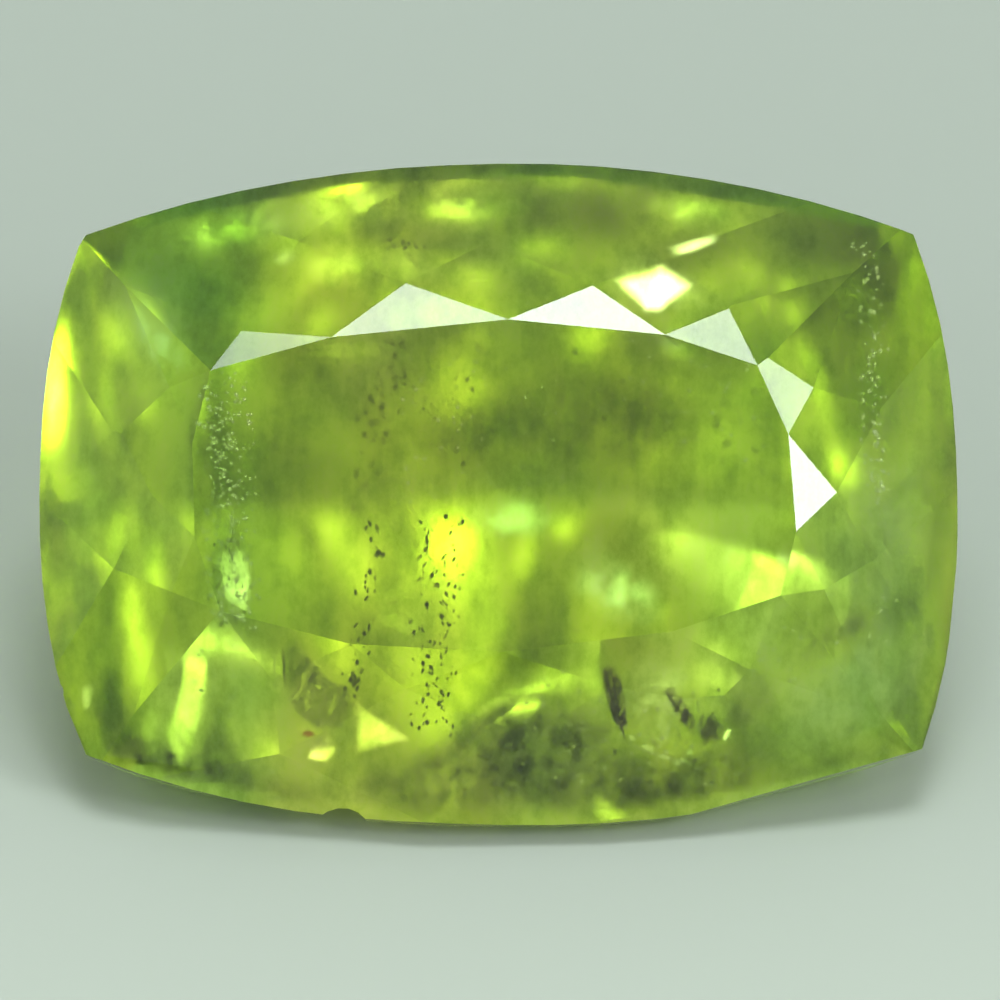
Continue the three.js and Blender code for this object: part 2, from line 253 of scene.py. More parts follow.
def sight_line(pixel):
    """Where the line of sight through a pixel enters the stone, its direction inside, and the face there."""
    across = (pixel[0] - GIRDLE_MIDDLE_PIXEL[0]) / pixels_of_focus
    below = (pixel[1] - GIRDLE_MIDDLE_PIXEL[1]) / pixels_of_focus
    ray = (Vector((across, 0.0, 0.0)) - lens_up * below - lens_direction).normalized()
    entry, facet, _, _ = stone_walls.ray_cast(lens.location, ray)
    if entry is None:
        return None, None, None
    return entry, bent(ray, facet), facet


def ease(value):
    """A smooth step from 0 to 1."""
    value = min(max(value, 0.0), 1.0)
    return value * value * (3 - 2 * value)


def cloud_with_painted_shade_and_light(name, depth, ripple, patches):
    """A sheet at a depth in mm below the faces, thick in patches: pixel, half sizes, turn, cover, shade."""
    points, covers, shades, kept = [], [], [], {}
    for row in range(int(FRAME_SIZE / CLOUD_STEP)):
        for column in range(int(FRAME_SIZE / CLOUD_STEP)):
            pixel = (column * CLOUD_STEP, row * CLOUD_STEP)
            entry, inward, _ = sight_line(pixel)
            if entry is None:
                continue
            ripple_place = Vector((pixel[0] * RIPPLE_ACROSS, pixel[1] * RIPPLE_DOWN, RIPPLE_SLICE))
            point = entry + inward * (depth + noise.noise(ripple_place) * ripple) * MM
            nearest, facet, _, _ = stone_walls.find_nearest(point)
            inside = (nearest - point).dot(facet) / MM
            if inside < CLOUD_CLEARANCE:
                continue
            clear, cover_sum, shade_sum = 1.0, LEAST_COVER, 0.0
            for middle, wide, high, turn, cover, shade in patches:
                dx, dy, spin = pixel[0] - middle[0], pixel[1] - middle[1], math.radians(turn)
                along = (dx * math.cos(spin) + dy * math.sin(spin)) / wide
                over = (dy * math.cos(spin) - dx * math.sin(spin)) / high
                here = cover * ease(PATCH_CORE - math.hypot(along, over) * PATCH_FADE)
                clear *= 1 - here
                cover_sum += here
                shade_sum += here * shade
            kept[(column, row)] = len(points)
            points.append(point)
            covers.append((1 - clear) * ease((inside - CLOUD_CLEARANCE) / CLOUD_FADE))
            shades.append(shade_sum / cover_sum)
    faces = []
    for column, row in kept:
        corners = [kept.get(place) for place in
                   ((column, row), (column + 1, row), (column + 1, row + 1), (column, row + 1))]
        if None not in corners and sum(covers[corner] for corner in corners) > THINNEST_CLOUD:
            faces.append(corners)
    mesh = bpy.data.meshes.new(name)
    mesh.from_pydata(points, [], faces)
    mesh.attributes.new("cover", "FLOAT", "POINT").data.foreach_set("value", covers)
    mesh.attributes.new("shade", "FLOAT", "POINT").data.foreach_set("value", shades)
    inclusion(name, mesh, cloud_material)


def inclusion(name, mesh, material):
    """Finishes a mesh as a piece inside the stone."""
    for face in mesh.polygons:
        face.use_smooth = True
    mesh.materials.append(material)
    piece = bpy.data.objects.new(name, mesh)
    bpy.context.scene.collection.objects.link(piece)
    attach(piece, "root")


cloud_material, tree, output = new_material("dust_haze_painted_shade_and_light")
place = add_node(tree, "ShaderNodeTexCoord")
growth = add_node(tree, "ShaderNodeMapping", {"vector_type": "TEXTURE"}, {
    "Vector": place.outputs["Object"], "Rotation": (LEAN, 0.0, 0.0), "Scale": (1.0, CLOUD_STRETCH, 1.0),
})
billows = add_node(tree, "ShaderNodeTexNoise", inputs={
    "Vector": growth.outputs["Vector"], "Scale": 1 / (CLOUD_GRAIN * MM), "Detail": 4.0, "Roughness": 0.72,
})
broken = add_node(tree, "ShaderNodeMapRange", inputs={
    "Value": billows.outputs["Fac"], "From Min": CLOUD_GAPS, "From Max": CLOUD_FULL,
})
thickness = add_node(tree, "ShaderNodeAttribute", {"attribute_name": "cover"})
cover = add_node(tree, "ShaderNodeMath", {"operation": "MULTIPLY", "use_clamp": True}, {
    0: broken.outputs["Result"], 1: thickness.outputs["Fac"],
})
cloud_shade = add_node(tree, "ShaderNodeAttribute", {"attribute_name": "shade"})
raised_kind = add_node(tree, "ShaderNodeMath", {"operation": "ADD"}, {
    0: cloud_shade.outputs["Fac"], 1: 0.5 - CLOUD_MOTTLE / 2,
})
mottle = add_node(tree, "ShaderNodeSeparateColor", inputs={"Color": billows.outputs["Color"]})
mottled = add_node(tree, "ShaderNodeMath", {"operation": "MULTIPLY_ADD", "use_clamp": True}, {
    0: mottle.outputs["Green"], 1: CLOUD_MOTTLE, 2: raised_kind.outputs["Value"],
})
cloud_colour = add_node(tree, "ShaderNodeValToRGB", inputs={"Fac": mottled.outputs["Value"]})
set_stops(cloud_colour.color_ramp, CLOUD_COLOURS_WITH_PAINTED_SHADE_AND_LIGHT)
film = add_node(tree, "ShaderNodeBsdfPrincipled", inputs={
    "Base Color": cloud_colour.outputs["Color"], "Roughness": 1.0, "Specular IOR Level": 0.0,
    "Alpha": cover.outputs["Value"],
})
tree.links.new(film.outputs["BSDF"], output.inputs["Surface"])

# In each patch the shade runs from below 0, dark for smoky dust and painted shade, to above 0, pale for
# haze and painted light.
cloud_with_painted_shade_and_light("clouds_painted_shade_and_light", 0.8, 0.25, (
    ((330, 212), 150, 36, -8, 0.80, 0.05), ((470, 205), 60, 26, 0, 0.60, 0.1),
    ((185, 235), 60, 30, -15, 0.45, 0.0), ((675, 212), 62, 26, 10, 0.45, 0.0),
    ((400, 270), 50, 30, 0, 0.45, 0.1), ((330, 345), 70, 30, 0, 0.40, 0.0),
    ((395, 560), 56, 130, 0, 0.20, 0.1), ((640, 700), 60, 40, 0, 0.25, 0.25),
    ((600, 425), 100, 46, 0, 0.45, -0.6), ((470, 440), 60, 34, 0, 0.35, -0.6),
    ((212, 430), 24, 66, 0, 0.60, -0.6), ((120, 420), 26, 60, 0, 0.40, -0.5),
    ((125, 772), 100, 36, -15, 0.90, -0.5), ((190, 770), 60, 40, 0, 0.85, -0.5),
    ((190, 700), 36, 52, 0, 0.30, -0.5), ((490, 770), 110, 40, -10, 0.90, -0.5),
    ((550, 750), 80, 50, 0, 0.80, -0.5), ((640, 792), 130, 34, 0, 0.80, -0.5),
    ((530, 640), 44, 62, 0, 0.50, -0.4), ((400, 790), 70, 24, 0, 0.5, -0.5),
    ((740, 700), 40, 62, -20, 0.60, -0.4), ((820, 640), 46, 46, 0, 0.60, -0.4),
    ((882, 390), 40, 80, 0, 0.40, -0.3), ((230, 790), 110, 24, 12, 0.8, -0.5),
    ((860, 250), 82, 36, 20, 0.40, -0.4), ((545, 215), 66, 30, 0, 0.35, -0.5),
    ((760, 300), 62, 46, 0, 0.35, -0.5), ((830, 340), 46, 72, 0, 0.45, -0.4),
    ((255, 470), 80, 60, 0, 0.45, -0.4), ((110, 725), 30, 52, 0, 0.50, -0.4),
    ((500, 400), 200, 80, 0, 0.25, -0.2), ((860, 690), 86, 46, -35, 0.75, 0.6),
    ((880, 480), 42, 120, 0, 0.40, 0.2), ((780, 640), 72, 40, -20, 0.40, 0.3),
    ((228, 560), 20, 72, 0, 0.30, 0.3), ((150, 310), 52, 52, 0, 0.30, 0.4),
    ((255, 700), 46, 42, 0, 0.50, 0.15), ((480, 240), 72, 52, 0, 0.30, 0.2),
    ((430, 470), 46, 160, 0, 0.25, 0.1), ((690, 440), 70, 72, 0, 0.35, 0.0),
    ((598, 572), 20, 42, 0, 0.55, 0.2), ((745, 560), 40, 50, 0, 0.45, 0.1),
    ((860, 570), 62, 62, 0, 0.35, 0.2), ((700, 775), 90, 30, -10, 0.65, -0.4),
    ((840, 755), 60, 26, -20, 0.4, -0.2), ((512, 715), 34, 18, -30, 0.75, -0.5),
    ((848, 628), 28, 10, -35, 0.6, -0.5),
))
# Just under the faces: the pale patches along the upper edge are painted light, and the dark ones along the
# lower edge are partly dust and partly painted shade.
cloud_with_painted_shade_and_light("cloud_painted_light_and_shade_under_the_upper_edge", 0.22, 0.04, (
    ((300, 200), 200, 46, -12, 0.85, 0.22), ((490, 186), 130, 28, 0, 0.80, 0.20),
    ((660, 200), 140, 28, 8, 0.65, 0.12), ((790, 225), 90, 22, 20, 0.5, 0.05),
    ((150, 235), 50, 24, -20, 0.5, 0.1), ((150, 768), 110, 40, 15, 0.95, -0.5),
    ((230, 795), 110, 24, 12, 0.85, -0.5), ((560, 805), 220, 20, -3, 0.65, -0.4),
    ((530, 745), 90, 40, 0, 0.45, -0.5), ((928, 315), 16, 34, 0, 0.60, -0.1),
    ((850, 690), 74, 34, -35, 0.60, 0.65), ((872, 600), 34, 50, 0, 0.40, 0.5),
    ((800, 735), 50, 24, -25, 0.45, 0.5),
))

# Healed fractures: cracks that the growing crystal closed again, left as thin films that mirror part of the
# light. Each is set square between the lens and the box overhead, as the ones that flash in a picture are.
FILM_RINGS = 5
FILM_TATTER = 0.4
FILM_CLEARANCE = 0.06
FILM_PULL = 0.9
MOST_PULLS = 20
OVAL_SIDES = 20
OVAL_RAGGEDNESS = 0.15
OVAL_LUMPS = 2.0
OVAL_VARIETY = 0.37
ZENITH = Vector((0.0, 0.0, 1.0))


def film_material(name, colour, roughness, torn_from, torn_to):
    """A mirroring film, worn into tatters by noise."""
    material, tree, output = new_material(name)
    film_cover = add_node(tree, "ShaderNodeAttribute", {"attribute_name": "cover"})
    place = add_node(tree, "ShaderNodeTexCoord")
    tatters = add_node(tree, "ShaderNodeTexNoise", inputs={
        "Vector": place.outputs["Object"], "Scale": 1 / (FILM_TATTER * MM), "Detail": 2.0, "Roughness": 0.65,
    })
    torn = add_node(tree, "ShaderNodeMapRange", inputs={
        "Value": tatters.outputs["Fac"], "From Min": torn_from, "From Max": torn_to,
    })
    cover = add_node(tree, "ShaderNodeMath", {"operation": "MULTIPLY", "use_clamp": True}, {
        0: film_cover.outputs["Fac"], 1: torn.outputs["Result"],
    })
    mirror = add_node(tree, "ShaderNodeBsdfPrincipled", inputs={
        "Base Color": linear(colour), "Metallic": 1.0, "Roughness": roughness,
        "Alpha": cover.outputs["Value"],
    })
    tree.links.new(mirror.outputs["BSDF"], output.inputs["Surface"])
    return material


def oval(middle, wide, high, turn=0.0):
    """An oval outline in pixels, a little ragged, with its turn in degrees."""
    spin, outline = math.radians(turn), []
    for side in range(OVAL_SIDES):
        angle = side / OVAL_SIDES * math.tau
        round_place = (math.cos(angle) * OVAL_LUMPS, math.sin(angle) * OVAL_LUMPS)
        rim_place = Vector((*round_place, middle[0] * OVAL_VARIETY))
        ragged = 1 + OVAL_RAGGEDNESS * noise.noise(rim_place)
        a, b = math.cos(angle) * wide * ragged, math.sin(angle) * high * ragged
        outline.append((middle[0] + a * math.cos(spin) - b * math.sin(spin),
                        middle[1] + a * math.sin(spin) + b * math.cos(spin)))
    return outline


def held_inside(point, middle):
    """The point, drawn back towards a middle until it is clear of the faces."""
    for _ in range(MOST_PULLS):
        nearest, facet, _, _ = stone_walls.find_nearest(point)
        if (nearest - point).dot(facet) > FILM_CLEARANCE * MM:
            break
        point = middle.lerp(point, FILM_PULL)
    return point


def thin_film(name, outline, depth, cover, softness, material):
    """A flat film that shows as an outline of pixels, a depth in mm below the face, and fades to its rim."""
    middle_pixel = [sum(pixel[axis] for pixel in outline) / len(outline) for axis in (0, 1)]
    entry, inward, facet = sight_line(middle_pixel)
    middle = entry + inward * depth * MM
    facing = (-bent(-ZENITH, facet) - inward).normalized()
    rim = []
    for pixel in outline:
        start, heading, _ = sight_line(pixel)
        corner = start + heading * ((middle - start).dot(facing) / heading.dot(facing))
        rim.append(held_inside(corner, middle))
    points, covers, faces, sides = [middle], [cover], [], len(rim)
    for ring in range(1, FILM_RINGS + 1):
        share = ring / FILM_RINGS
        first = len(points)
        for side, corner in enumerate(rim):
            points.append(middle.lerp(corner, share))
            covers.append(cover * ease((1 - share) / softness))
            here, there = first + side, first + (side + 1) % sides
            faces.append((0, here, there) if ring == 1 else (here - sides, here, there, there - sides))
    mesh = bpy.data.meshes.new(name)
    mesh.from_pydata(points, [], faces)
    mesh.attributes.new("cover", "FLOAT", "POINT").data.foreach_set("value", covers)
    inclusion(name, mesh, material)


healed = film_material("healed_fracture_film", "#E4FFD8", 0.38, 0.30, 0.60)
pale_healed = film_material("pale_healed_fracture_film", "#FBFFE0", 0.32, 0.30, 0.60)
yellow_healed = film_material("yellow_healed_fracture_film", "#E6F880", 0.42, 0.25, 0.60)
rusty_film = film_material("yellow_film_by_the_rust", "#FBFFA8", 0.22, 0.20, 0.45)
open_crack = film_material("open_crack_mirror", "#FFFDF0", 0.16, 0.10, 0.30)

thin_film("film_below_the_keel_line", oval((512, 517), 56, 26, 4), 1.8, 0.85, 1.0, healed)
thin_film("film_right_of_the_middle", (
    (552, 556), (600, 545), (641, 560), (668, 592), (664, 622), (641, 638), (601, 622), (566, 592),
), 1.2, 0.60, 0.9, healed)
thin_film("film_further_right", oval((628, 598), 46, 32, 30), 1.0, 0.55, 1.0, healed)
thin_film("film_at_the_left_end", (
    (216, 552), (244, 546), (252, 580), (246, 616), (222, 612),
), 1.4, 1.0, 0.35, pale_healed)
thin_film("film_in_the_fourth_kite", (
    (611, 277), (663, 262), (696, 285), (660, 313), (645, 312),
), 1.0, 1.0, 0.55, open_crack)
thin_film("film_round_the_fourth_kite", oval((655, 290), 66, 42, 10), 1.6, 0.45, 1.0, pale_healed)
thin_film("film_over_the_fourth_kite", (
    (666, 247), (700, 236), (721, 232), (718, 242), (690, 254), (671, 257),
), 0.8, 0.40, 0.7, open_crack)
for number, (middle, wide, high, turn, depth, cover) in enumerate((
        ((232, 228), 74, 28, -14, 0.7, 0.95), ((350, 208), 76, 26, -5, 0.7, 1.00),
        ((455, 210), 60, 22, 0, 0.7, 0.95), ((345, 266), 60, 28, 0, 1.2, 0.85),
        ((404, 266), 46, 24, 10, 1.2, 0.85), ((340, 350), 56, 18, 0, 0.9, 0.60),
        ((400, 530), 44, 60, 0, 1.4, 0.45), ((402, 610), 44, 70, 0, 1.4, 0.65),
        ((590, 690), 36, 40, 0, 1.2, 0.85), ((690, 212), 56, 22, 8, 0.7, 0.80),
        ((268, 690), 30, 34, 0, 1.0, 0.65), ((745, 560), 26, 40, 0, 1.4, 0.35),
        ((685, 350), 34, 16, 12, 0.9, 0.65))):
    thin_film(f"yellow_glow_{number + 1}", oval(middle, wide, high, turn), depth, cover, 1.0, yellow_healed)
thin_film("film_low_middle", ((353, 698), (412, 740), (356, 754)), 1.2, 0.75, 0.3, rusty_film)
thin_film("film_low_rusty", (
    (310, 739), (330, 735), (338, 750), (326, 763), (308, 759),
), 1.0, 1.0, 0.3, rusty_film)
thin_film("film_low_right", (
    (628, 650), (668, 640), (698, 668), (694, 715), (668, 760), (636, 750), (620, 700),
), 1.4, 0.60, 0.8, pale_healed)
thin_film("film_at_the_left_mint", (
    (128, 290), (206, 368), (170, 388), (140, 345),
), 1.2, 0.45, 0.6, healed)
thin_film("film_under_the_third_star", oval((676, 343), 20, 10, 0), 1.4, 0.6, 0.8, healed)
thin_film("film_in_the_left_band", oval((88, 700), 8, 24, 0), 1.0, 0.6, 0.8, pale_healed)
thin_film("film_along_the_left_end", (
    (72, 300), (80, 292), (98, 400), (110, 500), (98, 628), (94, 725), (80, 690), (60, 560), (54, 420),
), 0.8, 0.30, 0.6, yellow_healed)
thin_film("film_along_the_right_end", (
    (910, 270), (888, 400), (884, 600), (902, 668), (912, 725), (928, 640), (940, 500), (932, 360),
), 0.8, 0.24, 0.6, yellow_healed)
thin_film("film_far_left", (
    (216, 664), (262, 655), (280, 690), (258, 726), (228, 716),
), 1.4, 0.45, 0.8, yellow_healed)
thin_film("film_right_of_the_table", oval((790, 560), 14, 18, 0), 1.2, 0.4, 0.9, pale_healed)
thin_film("glint_top", (
    (430, 210), (440, 203), (476, 202), (480, 208), (455, 214),
), 0.8, 0.45, 0.9, healed)
thin_film("glint_upper_left", oval((286, 256), 16, 10, -20), 1.0, 0.35, 0.9, pale_healed)
thin_film("glint_low_right", (
    (728, 727), (733, 730), (725, 742), (722, 738),
), 0.6, 1.0, 0.4, open_crack)

# The stained crack and the slivers: a leaf-shaped crack near the lower edge that iron has stained brown, and
# dark needles of another mineral, with a ragged bright fringe where the crack around them stands open. The
# pale slivers along that fringe, along the crack's rim and in a fine scratch are painted highlight.
STAIN_STREAK = 0.11
STAIN_SLANT = math.radians(-28.0)
STAIN_STRETCH = (1.0, 4.0, 1.0)
# The streaks' noise hardly leaves this span of its values, so the colours are spread over it.
NOISE_FROM = 0.25
NOISE_SPAN = 0.5
STAIN_COLOURS = (
    (0.0, "#242A06"), (0.3, "#8A9630"), (0.5, "#BECC50"),
    (0.65, "#4A480C"), (0.8, "#DCE878"), (1.0, "#F4FFA0"),
)
RUST_COLOURS = ((0.0, "#A86414"), (0.5, "#E08C24"), (1.0, "#F0B838"))
SMUDGE_COLOURS = ((0.0, "#1E1606"), (0.4, "#3E2E0E"), (0.6, "#7A6420"), (1.0, "#D8D070"))
NEEDLE_SIDES = 6
NEEDLE_RINGS = (0.0, 0.12, 0.35, 0.6, 0.85, 1.0)
NEEDLE_TIP = 0.08
NEEDLE_FULLNESS = 0.7
NEEDLE_KNOBS = 0.35
KNOBS_ALONG = 4.0
KNOBS_ACROSS = 0.31
KNOBS_DOWN = 0.17


def stained_material(name, stops, cover_from, cover_to):
    """Stain in streaks along the crack, thin in places."""
    material, tree, output = new_material(name)
    place = add_node(tree, "ShaderNodeTexCoord")
    along = add_node(tree, "ShaderNodeMapping", {"vector_type": "TEXTURE"}, {
        "Vector": place.outputs["Object"], "Rotation": (LEAN, 0.0, STAIN_SLANT), "Scale": STAIN_STRETCH,
    })
    streaks = add_node(tree, "ShaderNodeTexNoise", inputs={
        "Vector": along.outputs["Vector"], "Scale": 1 / (STAIN_STREAK * MM), "Detail": 3.0, "Roughness": 0.6,
    })
    stain = add_node(tree, "ShaderNodeValToRGB", inputs={"Fac": streaks.outputs["Fac"]})
    set_stops(stain.color_ramp, [(NOISE_FROM + share * NOISE_SPAN, colour) for share, colour in stops])
    film_cover = add_node(tree, "ShaderNodeAttribute", {"attribute_name": "cover"})
    holes = add_node(tree, "ShaderNodeMapRange", inputs={
        "Value": streaks.outputs["Fac"], "From Min": cover_from, "From Max": cover_to,
        "To Min": 1.0, "To Max": 0.2,
    })
    cover = add_node(tree, "ShaderNodeMath", {"operation": "MULTIPLY", "use_clamp": True}, {
        0: film_cover.outputs["Fac"], 1: holes.outputs["Result"],
    })
    stained = add_node(tree, "ShaderNodeBsdfPrincipled", inputs={
        "Base Color": stain.outputs["Color"], "Roughness": 0.45, "Alpha": cover.outputs["Value"],
    })
    tree.links.new(stained.outputs["BSDF"], output.inputs["Surface"])
    return material


iron_stain = stained_material("iron_stained_crack", STAIN_COLOURS, 0.5, 0.68)
rust = stained_material("rust_in_the_crack", RUST_COLOURS, 0.6, 0.8)
brown_smudge = stained_material("brown_mineral_smudge", SMUDGE_COLOURS, 0.46, 0.62)
thin_film("stained_crack", (
    (281, 645), (289, 641), (300, 643), (314, 660), (330, 680), (344, 684), (352, 690),
    (353, 715), (350, 740), (342, 741), (335, 738), (318, 733), (300, 720), (289, 704),
    (283, 680),
), 0.4, 1.0, 0.15, iron_stain)
thin_film("rust_spot", oval((309, 734), 8, 4, 8), 0.5, 1.0, 0.5, rust)
thin_film("smudge_left", (
    (600, 664), (614, 664), (622, 680), (628, 708), (634, 744), (622, 750), (612, 720), (603, 690),
), 0.4, 1.0, 0.25, brown_smudge)
thin_film("smudge_middle", (
    (660, 684), (672, 686), (686, 702), (698, 722), (694, 734), (680, 724), (668, 702),
), 0.5, 1.0, 0.35, brown_smudge)
thin_film("smudge_right", (
    (698, 714), (712, 710), (728, 722), (720, 742), (704, 748), (696, 732),
), 0.5, 0.9, 0.45, brown_smudge)


def sliver(name, start, end, width, depth, material):
    """A needle between two pixels, tapered to both ends; its width in pixels, its depth in mm."""
    points, faces = [], []
    length = math.hypot(end[0] - start[0], end[1] - start[1])
    across = (-(end[1] - start[1]) / length, (end[0] - start[0]) / length)
    for ring, share in enumerate(NEEDLE_RINGS):
        middle = (start[0] + (end[0] - start[0]) * share, start[1] + (end[1] - start[1]) * share)
        thick = width / 2 * (NEEDLE_TIP + math.sin(share * math.pi) ** NEEDLE_FULLNESS)
        knob_place = Vector((share * KNOBS_ALONG, start[0] * KNOBS_ACROSS, start[1] * KNOBS_DOWN))
        thick *= 1 + NEEDLE_KNOBS * noise.noise(knob_place)
        for side in range(NEEDLE_SIDES):
            angle = side / NEEDLE_SIDES * math.tau
            shift = math.cos(angle) * thick
            entry, inward, _ = sight_line((middle[0] + across[0] * shift, middle[1] + across[1] * shift))
            points.append(entry + inward * (depth + math.sin(angle) * thick / PIXELS_PER_MM) * MM)
            if ring:
                here, there = ring * NEEDLE_SIDES + side, ring * NEEDLE_SIDES + (side + 1) % NEEDLE_SIDES
                faces.append((here - NEEDLE_SIDES, there - NEEDLE_SIDES, there, here))
    last = len(points) - NEEDLE_SIDES
    faces.append(tuple(range(NEEDLE_SIDES))[::-1])
    faces.append(tuple(range(last, len(points))))
    mesh = bpy.data.meshes.new(name)
    mesh.from_pydata(points, [], faces)
    outward_faces = bmesh.new()
    outward_faces.from_mesh(mesh)
    bmesh.ops.recalc_face_normals(outward_faces, faces=outward_faces.faces)
    outward_faces.to_mesh(mesh)
    outward_faces.free()
    inclusion(name, mesh, material)


def plain_material(name, colour, roughness):
    """An opaque surface of one colour."""
    material, tree, output = new_material(name)
    surface = add_node(tree, "ShaderNodeBsdfPrincipled", inputs={
        "Base Color": linear(colour), "Roughness": roughness,
    })
    tree.links.new(surface.outputs["BSDF"], output.inputs["Surface"])
    return material


dark_needle = plain_material("dark_mineral_needle", "#3A2A0C", 0.35)
# Pale slivers that paint the highlight of open crack edges and of a scratch.
painted_highlight_edge = plain_material("crack_edge_with_painted_highlight", "#FBFFB8", 0.4)
for number, (start, end, width, depth, material) in enumerate((
        ((604, 666), (612, 700), 2.4, 0.3, dark_needle), ((610, 664), (620, 715), 1.6, 0.3, dark_needle),
        ((664, 690), (684, 716), 1.6, 0.4, dark_needle), ((616, 706), (626, 742), 1.6, 0.3, dark_needle),
        ((283, 648), (285, 690), 1.6, 0.5, dark_needle),
        ((626, 743), (662, 757), 2.4, 0.5, painted_highlight_edge), ((662, 757), (692, 764), 2.0, 0.5, painted_highlight_edge),
        ((274, 646), (275, 684), 1.6, 0.5, painted_highlight_edge), ((660, 412), (697, 412), 1.0, 0.15, painted_highlight_edge))):
    sliver(f"sliver_{number + 1}", start, end, width, depth, material)
for number, (middle, wide, high, turn) in enumerate((
        ((648, 748), 8, 3, 20), ((664, 757), 7, 3, 10), ((680, 762), 8, 3, -10), ((632, 738), 4, 3, 30),
        ((690, 752), 4, 3, -40), ((272, 772), 4, 3, 0), ((194, 681), 4, 3, 0),
        ((612, 700), 2, 12, -15), ((700, 728), 3, 8, -30))):
    thin_film(f"fringe_{number + 1}", oval(middle, wide, high, turn), 0.6, 0.8, 0.5, pale_healed)

# Drops and dust: rows of fluid drops and grains of dark mineral that settled on the crystal as it grew. They
# lie in streams through it, pale where a drop mirrors the light and black where a grain stops it.
DROP_SIDES_LEVEL = 1
CLUMP_GAPS = 0.30
CLUMP_FULL = 0.60
SMALLEST_DROP = 0.45
LARGEST_DROP = 1.6
DROP_SCATTER = 0.15
STREAM_STEP = 20
drop_tree = bpy.data.node_groups.new("drops_in_a_stream", "GeometryNodeTree")
for socket_name, kind, direction in (
        ("Stream", "NodeSocketGeometry", "INPUT"), ("Drops per Square Metre", "NodeSocketFloat", "INPUT"),
        ("Drop Radius", "NodeSocketFloat", "INPUT"), ("Stretch", "NodeSocketVector", "INPUT"),
        ("Scatter", "NodeSocketFloat", "INPUT"), ("Clump Size", "NodeSocketFloat", "INPUT"),
        ("Tumble", "NodeSocketFloat", "INPUT"), ("Seed", "NodeSocketInt", "INPUT"),
        ("Material", "NodeSocketMaterial", "INPUT"), ("Drops", "NodeSocketGeometry", "OUTPUT")):
    drop_tree.interface.new_socket(socket_name, in_out=direction, socket_type=kind)
drop_inputs = drop_tree.nodes.new("NodeGroupInput").outputs
clumps = add_node(drop_tree, "ShaderNodeTexNoise", {"noise_dimensions": "4D"}, {
    "Scale": 1.0, "Detail": 1.0, "W": drop_inputs["Seed"],
    "Vector": add_node(drop_tree, "ShaderNodeVectorMath", {"operation": "DIVIDE"}, {
        0: add_node(drop_tree, "GeometryNodeInputPosition").outputs[0], 1: drop_inputs["Clump Size"],
    }).outputs[0],
})
crowding = add_node(drop_tree, "ShaderNodeMapRange", inputs={
    "Value": clumps.outputs["Fac"], "From Min": CLUMP_GAPS, "From Max": CLUMP_FULL,
    "To Max": drop_inputs["Drops per Square Metre"],
})
settled = add_node(drop_tree, "GeometryNodeDistributePointsOnFaces", inputs={
    "Mesh": drop_inputs["Stream"], "Density": crowding.outputs["Result"], "Seed": drop_inputs["Seed"],
})
spread = add_node(drop_tree, "FunctionNodeRandomValue", {"data_type": "FLOAT_VECTOR"}, {
    "Min": (-1.0, -1.0, -1.0), "Seed": drop_inputs["Seed"],
})
scattered = add_node(drop_tree, "GeometryNodeSetPosition", inputs={
    "Geometry": settled.outputs["Points"],
    "Offset": add_node(drop_tree, "ShaderNodeVectorMath", {"operation": "SCALE"}, {
        0: spread.outputs["Value"], "Scale": drop_inputs["Scatter"],
    }).outputs[0],
})
drop_ball = add_node(drop_tree, "GeometryNodeMeshIcoSphere", inputs={
    "Radius": drop_inputs["Drop Radius"], "Subdivisions": DROP_SIDES_LEVEL,
})
size_share = add_node(drop_tree, "FunctionNodeRandomValue", {"data_type": "FLOAT"})
size_share.inputs[2].default_value = SMALLEST_DROP
size_share.inputs[3].default_value = LARGEST_DROP
tumble = add_node(drop_tree, "FunctionNodeRandomValue", {"data_type": "FLOAT_VECTOR"}, {
    "Min": (-1.0, -1.0, -1.0),
})
turned = add_node(drop_tree, "ShaderNodeVectorMath", {"operation": "SCALE"}, {
    0: tumble.outputs["Value"], "Scale": drop_inputs["Tumble"],
})
placed = add_node(drop_tree, "GeometryNodeInstanceOnPoints", inputs={
    "Points": scattered.outputs["Geometry"], "Instance": drop_ball.outputs["Mesh"],
    "Rotation": turned.outputs[0],
    "Scale": add_node(drop_tree, "ShaderNodeVectorMath", {"operation": "SCALE"}, {
        0: drop_inputs["Stretch"], "Scale": size_share.outputs[1],
    }).outputs[0],
})
realized = add_node(drop_tree, "GeometryNodeRealizeInstances", inputs={
    "Geometry": placed.outputs["Instances"],
})
coated = add_node(drop_tree, "GeometryNodeSetMaterial", inputs={
    "Geometry": realized.outputs["Geometry"], "Material": drop_inputs["Material"],
})
drop_output = drop_tree.nodes.new("NodeGroupOutput")
drop_tree.links.new(coated.outputs["Geometry"], drop_output.inputs["Drops"])


